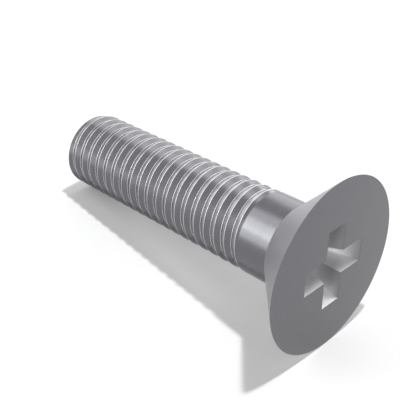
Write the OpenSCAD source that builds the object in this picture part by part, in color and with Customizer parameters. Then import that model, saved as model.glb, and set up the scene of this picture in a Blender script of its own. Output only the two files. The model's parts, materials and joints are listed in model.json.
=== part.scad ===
// Countersunk machine screw with a cross recess, a short plain shank and a metric thread.
// It is turned and pressed from one piece of steel, so it is one solid.
// It lies as it comes to rest, on the rim of its head and the last crest of its thread.
// Millimetres. The surface it lies on is z = 0, and the head points along +X.

/* [Size] */
// Nominal diameter, which is that of the plain shank
screw_d = 5; // [4.5:0.1:6]
// Length from the face of the head to the end of the thread
screw_l = 20; // [12:1:40]
// Length of the plain shank between the cone and the thread
plain_l = 2; // [0.8:0.1:6]
// How far the crests of the thread lie below the surface of the plain shank
crest_drop = 0.01; // [0.01:0.01:0.08]

/* [Head] */
// Diameter of the head at its rim, where the cone meets the face in a sharp edge
head_d = 10.4; // [9:0.1:12]
// Angle across the countersunk cone
cone_angle = 90; // [82:1:100]

/* [Cross recess] */
// Span of the cross on the face, from the end of one wing to the end of the opposite one
recess_span = 4.9; // [4.5:0.1:5.4]
// Width of a wing on the face
wing_w = 1.47; // [1.4:0.01:1.8]
// Slope of a wing's end, measured from the axis of the screw
end_slope = 28; // [20:1:30]
// Slope of a wing's two sides, measured from the axis of the screw
side_slope = 11.3; // [6:0.1:12]
// Depth of the recess below the face
recess_depth = 2.7; // [2:0.1:2.9]

/* [Hidden] */
$fn = 72;

// Round forms
head_r = head_d / 2;
shank_r = screw_d / 2;
crest_r = shank_r - crest_drop;
head_h = (head_r - shank_r) / tan(cone_angle / 2);
thread_start = head_h + plain_l;

// The recess is cut from a little above the face, so that its mouth is clean
mouth = 0.5;
span_at_bottom = recess_span - 2 * recess_depth * tan(end_slope);
span_above_face = recess_span + 2 * mouth * tan(end_slope);
wing_at_bottom = wing_w - 2 * recess_depth * tan(side_slope);
wing_above_face = wing_w + 2 * mouth * tan(side_slope);

// Lying down, the rim of the head is wider than the thread, so the axis leans by this angle
lean = atan((head_r - crest_r) / screw_l);
face_x = (screw_l * cos(lean) - (head_r - crest_r) * sin(lean)) / 2;
face_z = head_r * cos(lean);

// Outline of a slot seen along its length: wide above the face, narrow at its bottom
module tapered_section(top_w, bottom_w) {
    polygon([
        [-top_w / 2, mouth],
        [top_w / 2, mouth],
        [bottom_w / 2, -recess_depth],
        [-bottom_w / 2, -recess_depth]
    ]);
}

// A tapered section, stood up so that its depth runs down the axis, and drawn out along Y
module tapered_bar(top_w, bottom_w, length) {
    rotate([90, 0, 0])
        linear_extrude(height = length, center = true)
            tapered_section(top_w, bottom_w);
}

// Two opposite wings as one slot: the ends slope along its length, and the sides across it
module wing_pair() {
    intersection() {
        tapered_bar(span_above_face, span_at_bottom, 2 * recess_span);
        rotate([0, 0, 90])
            tapered_bar(wing_above_face, wing_at_bottom, 2 * recess_span);
    }
}

// Both slots cross on the axis and leave four square corners between the wings
module cross_recess() {
    wing_pair();
    rotate([0, 0, 90])
        wing_pair();
}

// Half section of the turned blank, from the face at z = 0 down to the end of the thread
module blank() {
    rotate_extrude()
        polygon([
            [0, 0],
            [head_r, 0],
            [shank_r, -head_h],
            [shank_r, -thread_start],
            [crest_r, -thread_start],
            [crest_r, -screw_l],
            [0, -screw_l]
        ]);
}

// The whole screw, laid down with its head along +X and two wings of the recess upright.
// The blank is turned by half a facet, so that its rim lies on a flat of its facets, not on a corner.
module screw() {
    color([0.62, 0.62, 0.64])
        translate([face_x, 0, face_z])
            rotate([0, 90 - lean, 0])
                difference() {
                    rotate([0, 0, 180 / $fn])
                        blank();
                    cross_recess();
                }
}

screw();
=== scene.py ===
# Countersunk machine screw: its head, cross recess, plain shank and rolled thread are one closed surface,
# worked out with numpy round the screw's own axis. Lengths in the dictionaries are in millimetres.
import json
import math

import bmesh
import bpy
import numpy as np
from mathutils import Matrix


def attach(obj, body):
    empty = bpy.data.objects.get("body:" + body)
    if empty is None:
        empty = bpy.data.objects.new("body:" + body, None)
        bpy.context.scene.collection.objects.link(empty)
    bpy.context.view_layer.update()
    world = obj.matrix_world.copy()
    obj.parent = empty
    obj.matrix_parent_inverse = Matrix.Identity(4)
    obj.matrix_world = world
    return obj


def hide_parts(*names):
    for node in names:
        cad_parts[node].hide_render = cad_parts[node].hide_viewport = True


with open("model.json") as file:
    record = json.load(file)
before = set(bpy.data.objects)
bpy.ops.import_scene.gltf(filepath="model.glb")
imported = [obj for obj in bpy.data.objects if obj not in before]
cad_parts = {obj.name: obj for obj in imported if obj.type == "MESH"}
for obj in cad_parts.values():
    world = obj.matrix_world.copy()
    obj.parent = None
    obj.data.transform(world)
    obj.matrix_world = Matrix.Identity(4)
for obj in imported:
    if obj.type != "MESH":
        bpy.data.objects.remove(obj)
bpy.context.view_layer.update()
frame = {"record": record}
mm = 0.001               # in metres
print("frame loaded")

# The screw's own axes, read from the mounts: depth counts from the face towards the tip
mounts = {mount["name"]: mount for mount in frame["record"]["mounts"]}
stemMount = mounts["stem"]
toTip = np.array(stemMount["axis"]) / np.linalg.norm(stemMount["axis"])
across = np.array([0.0, 1.0, 0.0])
upward = np.cross(across, toTip)
stemLength = stemMount["dims"]["length_mm"]
tipCentre = np.array(stemMount["pos_m"]) + toTip * stemLength * mm / 2
screwLength = float((tipCentre - np.array(mounts["head_face"]["pos_m"])) @ toTip) / mm
faceCentre = tipCentre - toTip * screwLength * mm
axisMiddle = (faceCentre + tipCentre) / 2
headRadius = float(faceCentre[2] / upward[2]) / mm
shankRadius = stemMount["dims"]["r_mm"]
coneHeight = screwLength - stemLength
lean = math.atan2(-toTip[2], -toTip[0])   # of the axis against the floor, in radians

turned = {
    "columns": 128,          # columns of the surface round the axis, a multiple of four
    "flatFace": 0.8,         # share of the head's radius at which the face's last flat ring lies
    "rimRound": 0.015,       # rounding of the sharp rim between the face and the cone
    "neckRound": 0.03,       # fillet where the cone meets the shank
    "shoulderRound": 0.005,  # rounding where the plain shank ends
    "shoulderDrop": 0.2,     # how far the shoulder's line is drawn inwards
    "endFlat": 0.985,        # share of the tip's radius at which the painted light along its edge has faded out
    "roundSteps": 4,         # steps along each rounding, an even number
    "sharpAngle": 32,        # edges that turn by more degrees than this stay sharp
    "mergeWithin": 0.0001,   # points of the seam and the poles this near each other become one
}

recess = {
    "span": 4.9,             # across two opposite wings, at the mouth
    "wingWidth": 1.47,       # at the mouth
    "endSlope": 28.0,        # degrees from the axis
    "sideSlope": 11.3,       # degrees from the axis
    "depth": 2.7,
    "mouthRound": 0.02,      # rounding of the edge between the walls and the face
    "wallRings": 6,          # rows of points down the walls
    "sideShare": 0.3125,     # share of a wing's columns that lies along each of its sides
}

thread = {
    "plainLength": 2.0,          # of the shank between the cone and the first crest
    "pitch": 0.8,
    "crestRadius": 2.49,
    "flankAngle": 68.0,          # degrees between a flank and a plane across the axis
    "crestRound": 0.03,
    "rootRound": 0.03,
    "arcSteps": 3,               # steps of half an arc, over the crest and in the root
    "rubEdge": 0.012,            # how far the painted highlight line fades out beside an arc
    "tipwardRub": 0.25,          # how much painted light the flanks that face the tip carry, a painted sheen
    "crestAt": 0.19,             # where a crest passes the generator that faces the camera, in pitches
    "facing": 140.8,             # degrees from across towards upward to that generator
    "spareTurns": 2,             # turns worked out past each end, then held at the shank and the tip
}
threadStart = coneHeight + thread["plainLength"]


def toFrame(depth, out, up):
    # A point's depth below the face and its distances across and up from the axis, in the frame's metres
    local = depth[..., None] * toTip + out[..., None] * across + up[..., None] * upward
    return faceCentre + local * mm


def roundedOutline(points, rounds, steps):
    # A profile of straight lines whose corners are arcs: each arc touches both of its lines, its centre
    # lies on their bisector, and one more point on each line holds the shading straight
    points = np.array(points, float)
    outline = [points[:1]]
    for before, corner, after, radius in zip(points[:-2], points[1:-1], points[2:], rounds):
        first = (before - corner) / np.linalg.norm(before - corner)
        second = (after - corner) / np.linalg.norm(after - corner)
        half = math.acos(np.clip(first @ second, -1, 1)) / 2
        hold = radius / math.tan(half) + radius / 2
        bisector = (first + second) / np.linalg.norm(first + second)
        centre = corner + bisector * radius / math.sin(half)
        swing = np.linspace(-1, 1, steps + 1)[:, None] * (math.pi / 2 - half)
        sideways = (second - first) / np.linalg.norm(second - first)
        arc = centre + radius * (np.sin(swing) * sideways - np.cos(swing) * bisector)
        outline += [[corner + first * hold], arc, [corner + second * hold]]
    outline.append(points[-1:])
    return np.concatenate(outline)


def crossOutline(depth, grow=0.0):
    # The cross at a depth: each wing runs from one inner corner out along its side, across its end and
    # back, both half sizes shrink with the tangent of their slope, and quarter turns give four wings
    quarter = turned["columns"] // 4
    column = np.arange(turned["columns"] + 1)
    part = (column % quarter) / quarter
    turn = (column // quarter) * math.pi / 2
    halfSpan = recess["span"] / 2 + grow - depth * math.tan(math.radians(recess["endSlope"]))
    halfWidth = recess["wingWidth"] / 2 + grow - depth * math.tan(math.radians(recess["sideSlope"]))
    corners = [0, recess["sideShare"], 1 - recess["sideShare"], 1]
    along = np.interp(part, corners, [halfWidth, halfSpan, halfSpan, halfWidth])
    aside = np.interp(part, corners, [-halfWidth, -halfWidth, halfWidth, halfWidth])
    return along * np.cos(turn) - aside * np.sin(turn), along * np.sin(turn) + aside * np.cos(turn)


def threadProfile():
    # One pitch as phase, fall of the radius and painted light: an arc over the crest, a straight flank that
    # touches it, an arc in the root, and the same mirrored. The root lies below the crest by the full vee
    # less what the two arcs cut from its points. The painted light is one on the arcs, a painted highlight
    # line at each crest and root, a part of that on the flank that faces the tip, a painted sheen, and
    # nothing on the other.
    flank = math.radians(thread["flankAngle"])
    pitch, crest, root = thread["pitch"], thread["crestRound"], thread["rootRound"]
    fall = pitch / 2 / math.tan(flank) - (crest + root) * (1 / math.sin(flank) - 1)
    swing = np.linspace(0, math.pi / 2 - flank, thread["arcSteps"] + 1)
    aside, below, rubbed = np.sin(swing), 1 - np.cos(swing), np.ones(len(swing))
    over = np.stack([crest * aside, crest * below, rubbed])
    inside = np.stack([pitch / 2 - root * aside, fall - root * below, rubbed])[:, ::-1]
    line = inside[:, :1] - over[:, -1:]
    share = thread["rubEdge"] / np.linalg.norm(line[:2])
    flat = over[:, -1:] + line * np.array([share, 1 - share])
    flat[2] = 0
    half = np.concatenate([over, flat, inside], axis=1)
    mirrored = half[:, -2:0:-1] * [[-1], [1], [1]] + [[pitch], [0], [0]]
    # The flanks that face the tip get part of the painted light, a painted sheen
    half[2, half[2] < 1] = thread["tipwardRub"]
    whole = np.concatenate([half, mirrored], axis=1)
    return whole[0] / pitch, whole[1], whole[2]


def threadRows(angles):
    # The thread as a surface of row and angle: the depth grows with the row and falls by one pitch for
    # each turn, held between the shank's end and the tip, and the radius is the profile at that phase
    phases, fall, rub = threadProfile()
    pitch = thread["pitch"]
    offset = (thread["crestAt"] + thread["facing"] / 360) * pitch
    turns = np.arange(math.floor(threadStart / pitch) - thread["spareTurns"],
                      math.ceil(screwLength / pitch) + thread["spareTurns"])
    rows = (turns[:, None] + phases[None, :]).ravel()
    depth = offset + pitch * (rows[:, None] - angles[None, :] / (2 * math.pi))
    depth = np.clip(depth, threadStart, screwLength)
    phase = (depth - offset) / pitch + angles[None, :] / (2 * math.pi)
    radius = thread["crestRadius"] - np.interp(phase, phases, fall, period=1)
    return depth, radius * np.cos(angles), radius * np.sin(angles), np.interp(phase, phases, rub, period=1)


def screwSurface():
    # All rows from the bottom of the recess, out over the face and the cone, along the shank and the
    # thread, and in to the middle of the tip, as depth, across, up and painted light
    quarter = math.pi / 4
    angles = np.linspace(-quarter, 2 * math.pi - quarter, turned["columns"] + 1)
    nothing = np.zeros(len(angles))
    rows = []

    def ring(depth, out, up, rub=0.0):
        rows.append(np.stack([nothing + depth, out, up, nothing + rub]))

    # The bottom of the recess and its walls carry painted light that grows with depth, a painted fill
    # against the shade inside
    ring(recess["depth"], nothing, nothing, 1.0)
    for depth in np.linspace(recess["depth"], recess["mouthRound"], recess["wallRings"]):
        ring(depth, *crossOutline(depth), depth / recess["depth"])
    wallRows = len(rows) - 1
    cornerRows = turned["roundSteps"] + 3     # an arc's points, and one more on each line that it touches
    rimEnd = len(rows) + cornerRows           # the last row of the rim's arc
    neckMiddle = rimEnd + cornerRows - turned["roundSteps"] // 2
    ring(0, *crossOutline(0, recess["mouthRound"] / 2))
    outline = roundedOutline(
        [[0, headRadius * turned["flatFace"]], [0, headRadius], [coneHeight, shankRadius],
         [threadStart, shankRadius], [threadStart, thread["crestRadius"] - turned["shoulderDrop"]]],
        [turned["rimRound"], turned["neckRound"], turned["shoulderRound"]], turned["roundSteps"])
    for depth, radius in outline[:-1]:
        ring(depth, radius * np.cos(angles), radius * np.sin(angles))
    rows += list(np.stack(threadRows(angles), axis=1))
    ring(screwLength, rows[-1][1] * turned["endFlat"], rows[-1][2] * turned["endFlat"])
    ring(screwLength, nothing, nothing)
    return np.stack(rows, axis=1), wallRows, slice(rimEnd, neckMiddle)


finishNumber = {"plated": 0, "pressed": 1, "raised": 2, "seat": 3}   # the order of the screw's materials


def quadFinishes(rowCount, wallRows, coneRows):
    # The number of the material on each quad: the lower long sides of the recess's two level wings (0 and
    # 2) and the end of its lowest wing (3), which face up, get a lighter material as a painted highlight
    quarter = turned["columns"] // 4
    part = (np.arange(turned["columns"]) % quarter + 0.5) / quarter
    wing = np.arange(turned["columns"]) // quarter
    first, last = part < recess["sideShare"], part > 1 - recess["sideShare"]
    middle = ~first & ~last
    bright = (wing == 0) & first | (wing == 2) & last | (wing == 3) & middle
    finishes = np.full((rowCount, turned["columns"]), finishNumber["plated"], np.int32)
    finishes[:wallRows] = finishNumber["pressed"]
    # The walls that face up get a lighter material: a painted highlight
    finishes[1:wallRows, bright] = finishNumber["raised"]
    finishes[coneRows] = finishNumber["seat"]
    return finishes


def gridMesh(name, points, rub, finishes):
    # A grid of points made into quads row by row, its seam and poles closed by merging doubles
    rows, columns = points.shape[:2]
    index = np.arange(rows * columns).reshape(rows, columns)
    quads = np.stack([index[:-1, :-1], index[:-1, 1:], index[1:, 1:], index[1:, :-1]], axis=-1)
    mesh = bpy.data.meshes.new(name)
    mesh.from_pydata(points.reshape(-1, 3), [], quads.reshape(-1, 4))
    mesh.polygons.foreach_set("material_index", finishes.ravel())
    mesh.attributes.new("rub", "FLOAT", "POINT").data.foreach_set("value", rub.ravel())
    work = bmesh.new()
    work.from_mesh(mesh)
    bmesh.ops.remove_doubles(work, verts=work.verts, dist=turned["mergeWithin"] * mm)
    bmesh.ops.recalc_face_normals(work, faces=work.faces)
    work.to_mesh(mesh)
    work.free()
    mesh.shade_smooth()
    mesh.set_sharp_from_angle(angle=math.radians(turned["sharpAngle"]))
    piece = bpy.data.objects.new(name, mesh)
    bpy.context.scene.collection.objects.link(piece)
    return piece


(screwDepth, screwOut, screwUp, screwPaintedLight), wallRows, coneRows = screwSurface()
finishes = quadFinishes(len(screwDepth) - 1, wallRows, coneRows)
screw = gridMesh("machine_screw", toFrame(screwDepth, screwOut, screwUp), screwPaintedLight, finishes)
print("screw surface:", len(screw.data.vertices), "points,", len(screw.data.polygons), "faces")

steel = {
    "colour": (0.148, 0.148, 0.160),
    "rubbed": (0.62, 0.62, 0.635),   # colour of the painted highlight lines on the crests and roots and of the painted sheen on the tipward flanks
    "roughness": 0.26,
    "roughnessSpread": 0.04,         # how far the marks change the roughness, up and down
    "shade": 0.04,                   # share by which the grain lightens and darkens the colour
    "grain": 30.0,                   # grains of the plating to a millimetre
    "grainDetail": (2.0, 0.5),       # octaves, and how strong each is beside the one before
    "turning": 9.0,                  # turning marks to a millimetre
    "turningDetail": (3.0, 0.6),
    "markRange": (0.6, 1.4),         # lowest and highest of grain and marks together
    "bump": 0.001,                   # height of the marks
    "bumpStrength": 0.5,
}

# The walls of the recess, pressed cold, with a lighter colour that grows towards the bottom as painted fill
# light against the shade inside, then its brightest facets, a painted highlight on the walls that face up,
# and the cone, which sits in the countersink, rougher and with a lighter colour that is partly a painted
# highlight
pressed = dict(steel, colour=(0.205, 0.205, 0.213), rubbed=(0.95, 0.95, 0.96), roughness=0.45, grain=12.0,
               turning=4.0, bump=0.003)
# The brightest facets of the recess: a painted highlight
raised = dict(pressed, colour=(0.54, 0.54, 0.55), rubbed=(0.97, 0.97, 0.97))
# The cone is rougher, and its lighter colour is a painted highlight
seat = dict(steel, colour=(0.30, 0.30, 0.318), roughness=0.48)


def newNode(tree, kind, settings=None, **inputs):
    # A node of a kind, with its settings and the values of its inputs
    node = tree.nodes.new(kind)
    for name, value in (settings or {}).items():
        setattr(node, name, value)
    for name, value in inputs.items():
        node.inputs[name].default_value = value
    return node


def metalMaterial(name, finish):
    # Rings left by turning, which follow depth and radius, and a fine even grain change the colour, the
    # roughness and the height a little, and the colour is mixed towards a lighter one where light is
    # painted on
    material = bpy.data.materials.new(name)
    material.use_nodes = True
    tree = material.node_tree
    link = tree.links.new
    shader = tree.nodes["Principled BSDF"]
    shader.inputs["Metallic"].default_value = 1.0
    coordinates = newNode(tree, "ShaderNodeTexCoord")
    local = newNode(tree, "ShaderNodeMapping")
    local.inputs["Scale"].default_value = (1 / mm,) * 3
    local.inputs["Rotation"].default_value = (0, lean, 0)
    start = -faceCentre / mm
    cosLean, sinLean = math.cos(lean), math.sin(lean)
    local.inputs["Location"].default_value = (
        start[0] * cosLean + start[2] * sinLean, start[1], start[2] * cosLean - start[0] * sinLean)
    link(coordinates.outputs["Object"], local.inputs["Vector"])

    split = newNode(tree, "ShaderNodeSeparateXYZ")
    link(local.outputs["Vector"], split.inputs["Vector"])
    sideways = newNode(tree, "ShaderNodeCombineXYZ")
    link(split.outputs["Y"], sideways.inputs["Y"])
    link(split.outputs["Z"], sideways.inputs["Z"])
    radius = newNode(tree, "ShaderNodeVectorMath", {"operation": "LENGTH"})
    link(sideways.outputs["Vector"], radius.inputs[0])
    profile = newNode(tree, "ShaderNodeCombineXYZ")
    link(split.outputs["X"], profile.inputs["X"])
    link(radius.outputs["Value"], profile.inputs["Y"])

    detail, roughness = finish["turningDetail"]
    marks = newNode(tree, "ShaderNodeTexNoise", Scale=finish["turning"], Detail=detail, Roughness=roughness)
    link(profile.outputs["Vector"], marks.inputs["Vector"])
    detail, roughness = finish["grainDetail"]
    grain = newNode(tree, "ShaderNodeTexNoise", Scale=finish["grain"], Detail=detail, Roughness=roughness)
    link(local.outputs["Vector"], grain.inputs["Vector"])
    both = newNode(tree, "ShaderNodeMath", {"operation": "ADD"})
    link(marks.outputs["Fac"], both.inputs[0])
    link(grain.outputs["Fac"], both.inputs[1])

    rough = newNode(tree, "ShaderNodeMapRange")
    rough.inputs["From Min"].default_value = finish["markRange"][0]
    rough.inputs["From Max"].default_value = finish["markRange"][1]
    rough.inputs["To Min"].default_value = finish["roughness"] - finish["roughnessSpread"]
    rough.inputs["To Max"].default_value = finish["roughness"] + finish["roughnessSpread"]
    link(both.outputs["Value"], rough.inputs["Value"])
    link(rough.outputs["Result"], shader.inputs["Roughness"])

    tint = newNode(tree, "ShaderNodeMixRGB")
    tint.inputs["Color1"].default_value = (*[(1 - finish["shade"]) * c for c in finish["colour"]], 1)
    tint.inputs["Color2"].default_value = (*[(1 + finish["shade"]) * c for c in finish["colour"]], 1)
    link(grain.outputs["Fac"], tint.inputs["Fac"])
    # The painted light per point: painted highlight lines and sheen on the thread, painted fill in the
    # recess
    rub = newNode(tree, "ShaderNodeAttribute", {"attribute_name": "rub"})
    lighter = newNode(tree, "ShaderNodeMixRGB")
    lighter.inputs["Color2"].default_value = (*finish["rubbed"], 1)
    link(rub.outputs["Fac"], lighter.inputs["Fac"])
    link(tint.outputs["Color"], lighter.inputs["Color1"])
    link(lighter.outputs["Color"], shader.inputs["Base Color"])

    bump = newNode(tree, "ShaderNodeBump", Strength=finish["bumpStrength"], Distance=finish["bump"] * mm)
    link(both.outputs["Value"], bump.inputs["Height"])
    link(bump.outputs["Normal"], shader.inputs["Normal"])
    return material


screwFinishes = {"plated": steel, "pressed": pressed, "raised": raised, "seat": seat}
for finishName in finishNumber:
    screw.data.materials.append(metalMaterial(finishName + "_steel", screwFinishes[finishName]))
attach(screw, "root")
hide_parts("screw")
print("screw finished in plated steel")

studio = {
    "floorSize": 0.12,           # metres, small enough to be evenly lit up to its edge
    "floorColour": 0.80,
    "hidden": ["key"],           # the lamps that the metal doesn't mirror
    "lamps": {
        # name: azimuth and elevation towards the lamp in degrees, distance and sides in metres, brightness
        "key": (90, 80, 0.30, 0.02, 0.02, 452.0),
        "side": (180, 10, 0.20, 0.09, 0.09, 1.3),
        "leftHigh": (205, 50, 0.20, 0.09, 0.09, 1.6),
        "leftLow": (230, 10, 0.20, 0.09, 0.09, 2.3),
        "left": (230, 30, 0.20, 0.09, 0.09, 3.5),
        "nearLow": (255, 10, 0.20, 0.09, 0.09, 1.0),
        "nearRight": (300, 30, 0.20, 0.09, 0.09, 4.5),
        "front": (340, 45, 0.20, 0.09, 0.09, 1.9),
        "backRight": (60, 15, 0.20, 0.09, 0.09, 4.3),
        "backLow": (90, 15, 0.20, 0.09, 0.09, 5.7),
        "backLeft": (120, 15, 0.20, 0.09, 0.09, 1.2),
        "backHigh": (120, 40, 0.20, 0.09, 0.09, 1.2),
        "high": (120, 65, 0.20, 0.09, 0.09, 1.7),
        "farLow": (150, 15, 0.20, 0.09, 0.09, 1.7),
    },
}


def lightPathShare(tree):
    # One where a camera, glossy or transmission ray looks, and nothing for the rest
    path = newNode(tree, "ShaderNodeLightPath")
    first = newNode(tree, "ShaderNodeMath", {"operation": "MAXIMUM"})
    second = newNode(tree, "ShaderNodeMath", {"operation": "MAXIMUM"})
    tree.links.new(path.outputs["Is Camera Ray"], first.inputs[0])
    tree.links.new(path.outputs["Is Glossy Ray"], first.inputs[1])
    tree.links.new(first.outputs["Value"], second.inputs[0])
    tree.links.new(path.outputs["Is Transmission Ray"], second.inputs[1])
    return second.outputs["Value"]


def makeFloor():
    # A pale square on the ground, which keeps the shadow
    half = studio["floorSize"] / 2
    mesh = bpy.data.meshes.new("floor")
    corners = [(-half, -half, 0), (half, -half, 0), (half, half, 0), (-half, half, 0)]
    mesh.from_pydata(corners, [], [(0, 1, 2, 3)])
    floor = bpy.data.objects.new("floor", mesh)
    bpy.context.scene.collection.objects.link(floor)
    material = bpy.data.materials.new("pale_floor")
    material.use_nodes = True
    tree = material.node_tree
    tree.nodes.clear()
    lit = newNode(tree, "ShaderNodeBsdfDiffuse", Color=(*[studio["floorColour"]] * 3, 1))
    output = newNode(tree, "ShaderNodeOutputMaterial")
    tree.links.new(lit.outputs["BSDF"], output.inputs["Surface"])
    mesh.materials.append(material)


def makeWorld():
    # White where it is seen, also in the metal, and it lights nothing else
    world = bpy.data.worlds.new("studio")
    bpy.context.scene.world = world
    world.use_nodes = True
    tree = world.node_tree
    background = tree.nodes["Background"]
    background.inputs["Color"].default_value = (1, 1, 1, 1)
    tree.links.new(lightPathShare(tree), background.inputs["Strength"])


def lookAlong(direction, up):
    # The turn that points an object's -Z along a direction with its +Y towards up
    back = -np.array(direction) / np.linalg.norm(direction)
    right = np.cross(up, back)
    right /= np.linalg.norm(right)
    return Matrix(np.stack([right, np.cross(back, right), back], axis=1)).to_euler()


def makeLamps():
    # Softboxes that look at the middle of the screw: each one's power is its radiance times pi and its area
    for name, (azimuth, elevation, distance, wide, high, radiance) in studio["lamps"].items():
        azimuth, elevation = math.radians(azimuth), math.radians(elevation)
        level = math.cos(elevation)
        towards = np.array([math.cos(azimuth) * level, math.sin(azimuth) * level, math.sin(elevation)])
        light = bpy.data.lights.new(name, "AREA")
        light.shape = "RECTANGLE"
        light.size = wide
        light.size_y = high
        light.energy = math.pi * wide * high * radiance
        lamp = bpy.data.objects.new(name, light)
        bpy.context.scene.collection.objects.link(lamp)
        lamp.location = axisMiddle + towards * distance
        lamp.rotation_euler = lookAlong(-towards, np.array([0.0, 0.0, 1.0]))
        lamp.visible_camera = False
        lamp.visible_glossy = name not in studio["hidden"]


view = {
    "azimuth": -45.0,        # degrees from the head's end of the axis, about the screw's own upward
    "elevation": 30.0,
    "distance": 45.53,       # from the middle of the axis
    "fieldOfView": 30.0,     # degrees
    "nearest": 1.0,          # what lies nearer the lens than this isn't seen
}


def makeCamera():
    # It looks at the middle of the axis, and leans with the screw
    azimuth, elevation = math.radians(view["azimuth"]), math.radians(view["elevation"])
    towards = (-toTip * math.cos(azimuth) + across * math.sin(azimuth)) * math.cos(elevation)
    towards = towards + upward * math.sin(elevation)
    lens = bpy.data.cameras.new("camera")
    lens.angle = math.radians(view["fieldOfView"])
    lens.clip_start = view["nearest"] * mm
    camera = bpy.data.objects.new("camera", lens)
    bpy.context.scene.collection.objects.link(camera)
    camera.location = axisMiddle + towards * view["distance"] * mm
    camera.rotation_euler = lookAlong(-towards, upward)
    bpy.context.scene.camera = camera


makeFloor()
makeWorld()
makeLamps()
makeCamera()
bpy.context.scene.view_settings.view_transform = "Standard"
print("studio ready")
